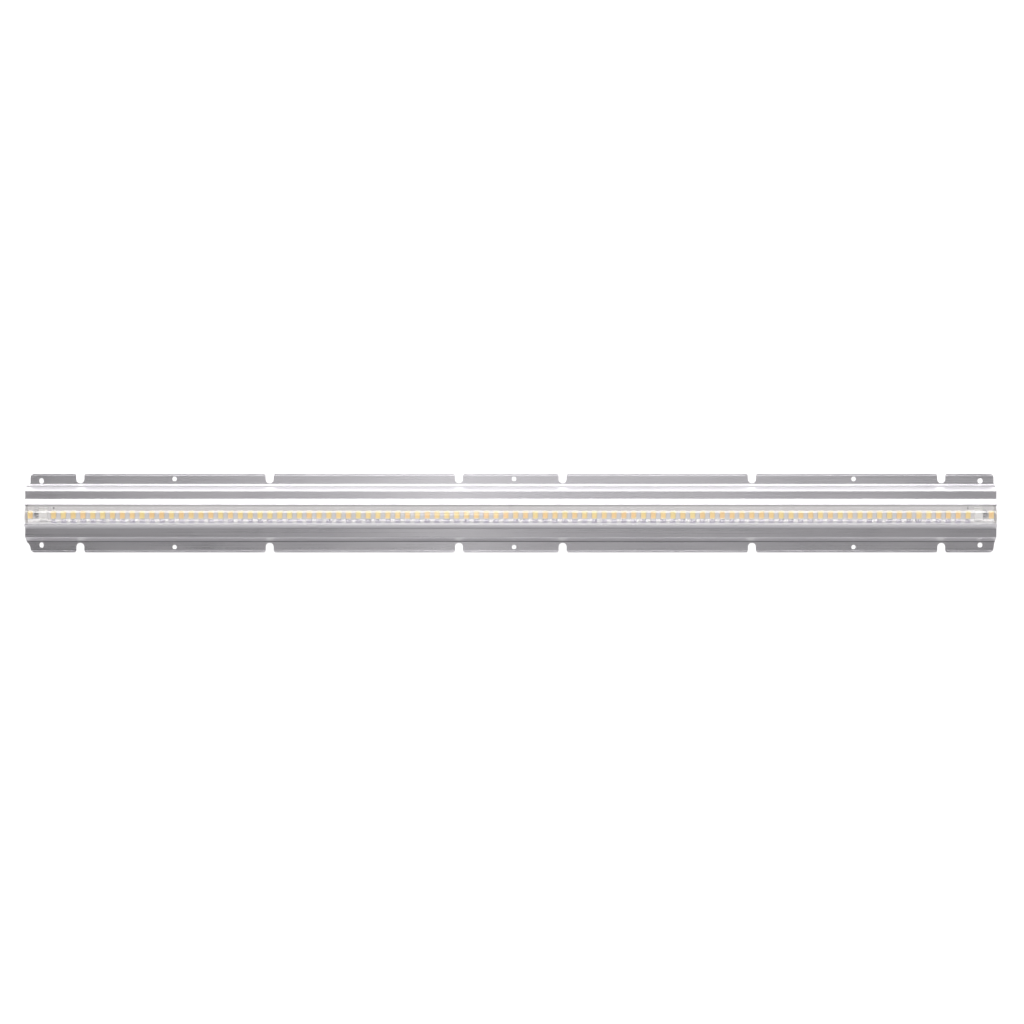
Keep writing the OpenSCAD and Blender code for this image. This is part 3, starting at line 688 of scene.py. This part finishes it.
def lens_outline(dy=0.0, r=LR, n=56):
    a = math.degrees(math.asin((LY - dy) / r))
    pts = [(r * math.sin(math.radians(-a + 2 * a * i / n)),
            LC + r * math.cos(math.radians(-a + 2 * a * i / n))) for i in range(n + 1)]
    return [(-(LY - dy) + 0.25, LB), (-(LY - dy), LB + 0.25)] + pts + \
           [(LY - dy, LB + 0.25), (LY - dy - 0.25, LB)]


v, f = along_x(lens_outline(), [(-LHX, -0.15), (-LHX + 0.15, 0), (LHX - 0.15, 0), (LHX, -0.15)])
make("lens_bar", v, f, slot="lens_clear", stand_for=("lens_cover",), mat=MAT["lens_clear"],
     smooth=30, weighted=True)

g = [(CHAN, LZ), (SLOT - 0.16, LZ), (SLOT, LZ + 0.16), (SLOT, LZ + 1.55), (SLOT - 0.2, LZ + 1.72), (LY + 0.22, LZ + 1.60),
     (LY, LZ + 1.45), (LY, LB), (CHAN, LB)]
v, f = along_x(g, [(-LHX, 0), (LHX, 0)])
make("gasket_rear", v, f, slot="silicone_grey", stand_for=("lens_gasket_rear",),
     mat=MAT["silicone_grey"], smooth=50, weighted=True)
v, f = along_x([(-y, z) for y, z in g], [(-LHX, 0), (LHX, 0)])
make("gasket_front", v, f, slot="silicone_grey", stand_for=("lens_gasket_front",),
     mat=MAT["silicone_grey"], smooth=50, weighted=True)

foot = rounded([(-CHAN, FZ, 0.3), (CHAN, FZ, 0.3), (CHAN, LB, 0), (-CHAN, LB, 0)], 3)
plug = merge([along_x(foot, [(HX - 3.1, 0), (HX - 2.0, 0), (HX - 1.0, 0), (HX - 0.8, -0.2)]),
              along_x(lens_outline(0.05, LR - 0.3, 40),
                      [(LHX + 0.01, 0), (HX - 1.1, 0), (HX - 0.85, -0.25), (HX - 0.8, -0.6)])])
for side, part in (("right", plug), ("left", flip_x(plug))):
    make("lens_plug_" + side, *part, slot="silicone_clear", stand_for=("end_plug_" + side,),
         mat=MAT["silicone_clear"], smooth=40, weighted=True)

# ---------------------------------------------------------------------------
# Wires, grommets, cables
# ---------------------------------------------------------------------------
GX, TX, JX = HX - 13.6, HX - 22.4, HX - 21


def arc3(c, r, a0, a1, n, plane):
    out = []
    for i in range(n + 1):
        t = math.radians(a0 + (a1 - a0) * i / n)
        u, w = r * math.cos(t), r * math.sin(t)
        out.append((c[0] + u, c[1] + (w if plane == "xy" else 0), c[2] + (w if plane == "xz" else 0)))
    return out


core_z = TOP + 1.3
r2 = core_z - (TOP - 0.7)
for nm, y in (("white", 1.25), ("grey", -1.25)):
    path = ([(JX - 0.5, y, CZ), (GX - 3.2, y, CZ)] + arc3((GX - 3, y, CZ + 3), 3, -90, 0, 14, "xz")
            + arc3((GX - r2, y, core_z - r2), r2, 0, 90, 12, "xz") + [(TX + 1, y, core_z)])
    part = sweep(path, 0.65, 20, 0.1)
    for side, p in (("right", part), ("left", flip_x(part))):
        make("wire_%s_%s" % (nm, side), *p, slot="core_" + nm,
             stand_for=("core_%s_%s" % (nm, side),), mat=MAT["core_" + nm], smooth=50)

BX = HX - 48
R, A = 20.0, 60.0
gap = (-CONN_Y - 2 * R * (1 - math.cos(math.radians(A)))) / math.sin(math.radians(A))
X1, Y1 = BX - R * math.sin(math.radians(A)), R * (math.cos(math.radians(A)) - 1)
X2 = X1 - gap * math.cos(math.radians(A)) - R * math.sin(math.radians(A))
path = ([(JX, 0, CZ), (JX - 6, 0, CZ), (BX + 6, 0, CZ)] + arc3((BX, -R, CZ), R, 90, 90 + A, 22, "xy")
        + arc3((X2, R + CONN_Y, CZ), R, -90 + A, -90, 22, "xy")
        + [(X2 - 6, CONN_Y, CZ), (SHELL_X - 19.9, CONN_Y, CZ)])
jacket = sweep(path, 2.0, 36, 0.2)
# marker sleeve in the middle of the bend
mid = (X1 - gap * 0.5 * math.cos(math.radians(A)), Y1 - gap * 0.5 * math.sin(math.radians(A)))
d = (math.cos(math.radians(A)), math.sin(math.radians(A)))
L = gap / 2 + 1
sl = lathe([(-L, 1.9), (-L, 2.08), (-L + 0.15, 2.15), (L - 0.15, 2.15), (L, 2.08), (L, 1.9)], 36, closed=True)
sl = ([(mid[0] + u * d[0] - a * d[1], mid[1] + u * d[1] + a * d[0], CZ + b) for u, a, b in sl[0]], sl[1])
for side, fl in (("right", lambda p: p), ("left", flip_x)):
    make("cable_" + side, *fl(jacket), slot="cable_jacket", stand_for=("power_cable_" + side,),
         mat=MAT["cable_jacket"], smooth=50)
    make("cable_sleeve_" + side, *fl(sl), slot="silicone_grey", mat=MAT["silicone_grey"], smooth=40)

gr = lathe([(WEB - 0.8, 3.1), (WEB - 0.8, 4.35), (WEB - 0.6, 4.6), (WEB - 0.15, 4.6), (WEB, 4.45),
            (WEB, 3.4), (TOP + 0.05, 3.4), (TOP + 0.2, 3.2), (TOP + 0.2, 2.15), (TOP, 2.0),
            (WEB + 0.4, 2.0)], 48, closed=True)
gr = ([(GX + a, b, u) for u, a, b in gr[0]], gr[1])
for side, p in (("right", gr), ("left", flip_x(gr))):
    make("bush_" + side, *p, slot="grommet_rubber", stand_for=("grommet_" + side,),
         mat=MAT["grommet_rubber"], smooth=40)

# clamps: bent steel strip over the jacket
w0, t0 = 2.0, 1.0
strap = ([(-15, WEB), (-15, WEB - t0)] + corner((-15, WEB - t0), (-w0 - t0, WEB - t0), (-w0 - t0, CZ), 0.6, 4)
         + arc(0, CZ, w0 + t0, 180, 360, 22)
         + corner((w0 + t0, CZ), (w0 + t0, WEB - t0), (15, WEB - t0), 0.6, 4)
         + [(15, WEB - t0), (15, WEB)] + corner((15, WEB), (w0, WEB), (w0, CZ), 0.9, 5)
         + arc(0, CZ, w0 + 0.02, 360, 180, 20) + corner((-w0, CZ), (-w0, WEB), (-15, WEB), 0.9, 5))
strap = [p for i, p in enumerate(strap) if math.dist(p, strap[i - 1]) > 1e-4]
x0 = HX - 37
cl = along_x(strap, [(x0 - 4, -0.12), (x0 - 3.88, 0), (x0 + 3.88, 0), (x0 + 4, -0.12)])
for side, p in (("right", cl), ("left", flip_x(cl))):
    make("saddle_" + side, *p, slot="clamp_steel", stand_for=("cable_clamp_" + side,),
         mat=MAT["clamp_steel"], smooth=35, weighted=True)

# screws with a hex socket, heads down
HEX = 48


def hexr(a):
    return 1.15 / math.cos(((a + math.pi / 6) % (math.pi / 3)) - math.pi / 6)


def screw_mod(u, r, t):
    return min(hexr(t) * (r / -1.0), 9) if r < 0 else r


zs = WEB - 1
sp = [(zs - 0.15, -0.35), (zs - 0.2, -0.96), (zs - 1.75, -1.0), (zs - 1.9, -1.12),
      (zs - 1.9, 1.75), (zs - 1.82, 2.1), (zs - 1.6, 2.36), (zs - 0.2, 2.78), (zs - 0.02, 2.8), (zs, 2.7),
      (zs, 1.45), (zs + 5.2, 1.45), (zs + 5.45, 1.2)]
scr = lathe(sp, HEX, screw_mod)
scr = ([(a, b, u) for u, a, b in scr[0]], scr[1])
v, f = merge([moved(scr, sx * x0, sy * 12.6, 0) for sx in (1, -1) for sy in (1, -1)])
make("saddle_screws", v, f, slot="screw_steel", stand_for=("clamp_screws",), mat=MAT["screw_steel"],
     smooth=35, weighted=True)

# ---------------------------------------------------------------------------
# Connectors, drawn along u from the cable entry
# ---------------------------------------------------------------------------


def lay(part, right):
    s = -1 if right else 1
    v = [(s * (SHELL_X if right else SHELL_X) * -1 + s * u, CONN_Y + a, CZ + b) for u, a, b in part[0]]
    return v, part[1]


def shell_profile():
    p = [(19.8, 1.97), (0.3, 1.97), (0.0, 2.2), (0.0, 2.45), (0.25, 2.72)]
    for k in range(5):
        u = 1.1 + 2.35 * k
        r = 2.75 + 0.07 * u
        p += [(u, r), (u + 0.12, r - 0.10), (u + 0.18, r - 0.55), (u + 0.92, r - 0.5),
              (u + 0.98, r - 0.05), (u + 1.1, r + 0.04)]
    p += [(12.2, 3.62), (12.8, 3.8), (13.6, 4.35), (14.2, 4.55), (14.8, 4.6), (25.3, 4.6),
          (25.7, 4.5), (25.9, 4.25), (25.9, 2.9), (30.9, 2.9), (31.0, 2.8)]
    return p


def shell_mod(u, r, t):
    # two finger flats on the body
    if 15.2 < u < 25.2 and r > 4.5:
        q = 4.3
        c = abs(math.sin(t))
        return min(r, q / max(c, 1e-6)) if c > 0.9 else r
    return r


def with_stations(p, u0, u1, step):
    """Adds points along the outer line between u0 and u1, so a modulation can show."""
    out = []
    for (a, ra), (b, rb) in zip(p, p[1:]):
        out.append((a, ra))
        if a < b and a >= u0 - 1e-6 and b <= u1 + 1e-6 and b - a > step * 1.5:
            k = int((b - a) / step)
            out += [(a + (b - a) * i / k, ra + (rb - ra) * i / k) for i in range(1, k)]
    out.append(p[-1])
    return out


shell = lathe(with_stations(shell_profile(), 14.8, 25.3, 0.5), 72, shell_mod)
for side, node, right in (("plug", "plug_shell", False), ("socket", "socket_shell", True)):
    make(side + "_moulding", *lay(shell, right), slot="connector_shell", stand_for=(node,),
         mat=MAT["connector_shell"], smooth=38)

RR = 4.7
NK = 144


def ring_mod(kn0, kn1, th0=None, th1=None, depth=0.0, inner=False):
    def f(u, r, t):
        if kn0 <= u <= kn1 and r > RR - 0.06:
            edge = min(1.0, (u - kn0) / 0.4, (kn1 - u) / 0.4)
            return r - 0.30 * max(edge, 0) * (0.5 + 0.5 * math.cos(24 * t)) ** 1.5
        if th0 is not None and th0 <= u <= th1 and (3.5 < r < 4.1 if not inner else 3.5 < r < 3.6):
            fade = min(1.0, (u - th0) / 0.5, (th1 - u) / 0.5)
            ph = (u - t / (2 * math.pi)) % 1.0
            tri = 1 - abs(2 * ph - 1)
            return r - depth * max(fade, 0) * tri if not inner else r + depth * max(fade, 0) * tri
        return r
    return f


pr = [(26.2, RR - 0.4), (26.3, RR - 0.2), (26.6, RR), (32.6, RR), (32.9, RR - 0.2), (33.0, RR - 0.4),
      (33.0, 4.0), (38.8, 4.0), (39.2, 3.65), (39.2, 3.4), (39.1, 3.35), (30.8, 3.35),
      (30.8, 2.95), (26.2, 2.95)]
pr = with_stations(with_stations(pr, 26.6, 32.6, 0.25), 33.0, 38.8, 0.125)
part = lathe(pr, NK, ring_mod(26.8, 32.4, 33.2, 38.9, 0.5), closed=True)
make("plug_ring_nickel", *lay(part, False), body="plug_ring", slot="ring_nickel",
     stand_for=("plug_coupling_screw",), mat=MAT["ring_nickel"], smooth=50)

pr = [(26.2, RR - 0.4), (26.3, RR - 0.2), (26.6, RR), (39.8, RR), (40.1, RR - 0.2), (40.2, RR - 0.4),
      (40.2, 3.95)]
inner = [(39.9, 3.56)] + [(39.9 - 0.125 * i, 3.55) for i in range(1, 64)] + [(31.5, 3.55), (30.8, 3.55), (30.8, 2.95), (26.2, 2.95)]
pr = with_stations(pr, 26.6, 39.8, 0.25) + inner
part = lathe(pr, NK, ring_mod(27.2, 36.0, 32.1, 39.8, 0.42, True), closed=True)
make("socket_ring_nickel", *lay(part, True), body="socket_ring", slot="ring_nickel",
     stand_for=("socket_coupling_nut",), mat=MAT["ring_nickel"], smooth=50)

for node, w in (("wire_terminal_left", 0.15), ("wire_terminal_right", 0.15),
                ("smd_resistors", 0.06), ("board_links", 0.05), ("plug_insert", 0.06),
                ("socket_insert", 0.06), ("led_board_left", 0.06), ("led_board_right", 0.06)):
    soften(node, w)
for node in ("plug_pins", "socket_contacts", "plug_seal"):
    ob = frame["nodes"][node]
    for p in ob.data.polygons:
        p.use_smooth = True
    m = ob.modifiers.new("normals", "WEIGHTED_NORMAL")

# ---------------------------------------------------------------------------
# Stage, light and camera
# ---------------------------------------------------------------------------
# painted reflection: the floor's glow seen in the metal is weaker in front of the bar (GLOW_F) than behind it (GLOW_R)
GLOW, GLOW_F, GLOW_R = 0.85, 0.72, 1.35                                      # the table is lit from below
me = bpy.data.meshes.new("floor")
S = 9.0
bm = bmesh.new()
bmesh.ops.create_grid(bm, x_segments=6, y_segments=6, size=S)
bm.to_mesh(me)
bm.free()
floor = bpy.data.objects.new("floor", me)
floor.location.z = -0.0004
sc.collection.objects.link(floor)
fm = Nodes("floor_paper")
fn = fm.noise(3.0, None, 3.0, 0.5, 1.0)
fm.set(Base_Color=fm.mix(fm.ramp(fn, 0.0, 1.0), rgb(0.35, 0.35, 0.35), rgb(0.37, 0.37, 0.37)),
       Roughness=0.85)
fm.bsdf.inputs["Specular IOR Level"].default_value = 0.2
path = fm.new("ShaderNodeLightPath").outputs
fx, fy, fz = fm.xyz()
glow = fm.ramp(fy, GLOW_F, GLOW_R, -0.03, 0.04)
# painted shade: under the front flange the glow seen in reflections drops to 0.35
lip = fm.math("MULTIPLY", fm.ramp(fy, 0.0, 1.0, -0.0500, -0.0484), fm.ramp(fy, 1.0, 0.0, -0.036, -0.034))
glow = fm.math("MULTIPLY", glow, fm.ramp(lip, 1.0, 0.35, 0.0, 1.0))
seen = fm.math("ADD", path["Is Camera Ray"], fm.math("MULTIPLY", path["Is Glossy Ray"], glow))
# painted shade: the floor's glow is cut to a quarter in the hollow under the bar
open_x = fm.ramp(fm.math("ABSOLUTE", fx), 0.0, 1.0, (HX - 4) * MM, (HX + 1) * MM)
open_y = fm.ramp(fm.math("ABSOLUTE", fy), 0.0, 1.0, 0.033, 0.036)
seen = fm.math("MULTIPLY", seen, fm.ramp(fm.math("MAXIMUM", open_x, open_y), 0.25, 1.0, 0.0, 1.0))
fm.set(Emission_Color=rgb(1.0, 1.0, 1.0), Emission_Strength=fm.math("MULTIPLY", seen, GLOW))
me.materials.append(fm.mat)

HOLE_A, HOLE_B = 0.80, 0.96
ZEN_A, ZEN_B, HUMP_X, HUMP_W = 0.055, 0.44, -0.055, 0.165
HEAD = 6.6
BASE, STRIP = 0.42, 3.0
KEY = 135.0
world = bpy.data.worlds.new("studio")
sc.world = world
world.use_nodes = True
wt = world.node_tree
bg = wt.nodes["Background"]


def wmath(op, a, b=None, clamp=False):
    n = wt.nodes.new("ShaderNodeMath")
    n.operation, n.use_clamp = op, clamp
    for i, val in enumerate((a, b)):
        if val is None:
            continue
        if hasattr(val, "is_output"):
            wt.links.new(val, n.inputs[i])
        else:
            n.inputs[i].default_value = val
    return n.outputs[0]


tc = wt.nodes.new("ShaderNodeTexCoord")
sep = wt.nodes.new("ShaderNodeSeparateXYZ")
wt.links.new(tc.outputs["Generated"], sep.inputs[0])
dx, dy, dz = sep.outputs
# a dim ceiling straight above, bright walls all round, brightest behind the bar
def wramp(v, a, b, lo, hi, kind="SMOOTHSTEP"):
    n = wt.nodes.new("ShaderNodeMapRange")
    n.interpolation_type = kind
    wt.links.new(v, n.inputs["Value"])
    for k, q in (("From Min", a), ("From Max", b), ("To Min", lo), ("To Max", hi)):
        n.inputs[k].default_value = q
    return n.outputs["Result"]


hole = wramp(dz, HOLE_A, HOLE_B, 0.0, 1.0)
gx = wmath("MULTIPLY", wmath("ADD", dx, HUMP_X), 1 / HUMP_W)
hump = wmath("EXPONENT", wmath("MULTIPLY", wmath("MULTIPLY", gx, gx), -1.0))
over = wmath("ADD", ZEN_A, wmath("MULTIPLY", hump, ZEN_B))
# a small lamp head near the zenith
px = wmath("MULTIPLY", wmath("ADD", dx, 0.024), 1 / 0.022)
py = wmath("MULTIPLY", wmath("ADD", dy, 0.117), 1 / 0.05)
pp = wmath("ADD", wmath("MULTIPLY", px, px), wmath("MULTIPLY", py, py))
head = wmath("MULTIPLY", wmath("EXPONENT", wmath("MULTIPLY", pp, -1.0)), HEAD)
over = wmath("ADD", over, wmath("MULTIPLY", head, wramp(dz, 0.8, 0.9, 0.0, 1.0)))
over = wmath("MULTIPLY", over, wramp(dy, -0.30, -0.12, 0.25, 1.0))
# even walls with one long low softbox behind the bar
box_x = wramp(wmath("ABSOLUTE", dx), 0.30, 0.50, 1.0, 0.0)
box_z = wramp(dz, 0.12, 0.30, 1.0, 0.0)
box_y = wramp(dy, 0.2, 0.5, 0.0, 1.0)
strip = wmath("MULTIPLY", wmath("MULTIPLY", box_x, box_z), box_y)
walls = wmath("ADD", wmath("MULTIPLY", strip, STRIP), BASE)
rad = wmath("ADD", wmath("MULTIPLY", hole, over),
            wmath("MULTIPLY", wmath("SUBTRACT", 1.0, hole), walls))
direct = wt.nodes.new("ShaderNodeLightPath").outputs["Is Camera Ray"]
comb = wt.nodes.new("ShaderNodeCombineColor")
for i, k in enumerate((1.01, 0.995, 1.015)):
    wt.links.new(wmath("MULTIPLY", rad, k), comb.inputs[i])
paper = wt.nodes.new("ShaderNodeMix")
paper.data_type = "RGBA"
wt.links.new(direct, paper.inputs[0])
wt.links.new(comb.outputs[0], paper.inputs[6])
paper.inputs[7].default_value = rgb(1.0, 1.0, 1.0)
wt.links.new(paper.outputs[2], bg.inputs["Color"])
bg.inputs["Strength"].default_value = 1.0


def area_light(name, loc, target, size, energy, color=(1, 1, 1), size_y=None):
    d = bpy.data.lights.new(name, "AREA")
    d.shape = "RECTANGLE"
    d.size, d.size_y = size, size_y or size
    d.energy, d.color = energy, color
    o = bpy.data.objects.new(name, d)
    o.location = loc
    o.rotation_euler = (Vector(target) - Vector(loc)).to_track_quat("-Z", "Y").to_euler()
    sc.collection.objects.link(o)
    return o


area_light("key", (0.0, 1.95, 3.38), (0, 0, 0), 2.8, KEY, (1, 1, 1), 1.6)

cam_d = bpy.data.cameras.new("photo_camera")
D, W = 3000.0, 1254.7
CX, CY = 0.0, 354.0
SHIFT = (1.2 - CY) / W
cam_d.sensor_fit = "HORIZONTAL"
cam_d.sensor_width = 36.0
cam_d.lens = 36.0 * (D - 2.0) / W
cam_d.shift_x = (1.47 - CX) / W
cam_d.shift_y = SHIFT
cam_d.clip_end = 50
cam = bpy.data.objects.new("photo_camera", cam_d)
cam.location = (CX * MM, CY * MM, D * MM)
cam.rotation_mode = "XYZ"
cam.rotation_euler = (0, 0, 0)
sc.collection.objects.link(cam)
sc.camera = cam
# the lens is shifted for this viewpoint only; a camera turned by quaternion looks
# straight ahead
curve = cam_d.driver_add("shift_y")
curve.driver.type = "AVERAGE"
var = curve.driver.variables.new()
var.type = "SINGLE_PROP"
var.targets[0].id_type = "OBJECT"
var.targets[0].id = cam
var.targets[0].data_path = "rotation_mode"
for mod in list(curve.modifiers):
    curve.modifiers.remove(mod)
while curve.keyframe_points:
    curve.keyframe_points.remove(curve.keyframe_points[0])
for at, value in ((0.0, 0.0), (1.0, SHIFT)):
    curve.keyframe_points.insert(at, value).interpolation = "LINEAR"

sc.view_settings.view_transform = "Standard"
sc.view_settings.look = "None"
sc.view_settings.exposure = 0.0
sc.view_settings.gamma = 1.0
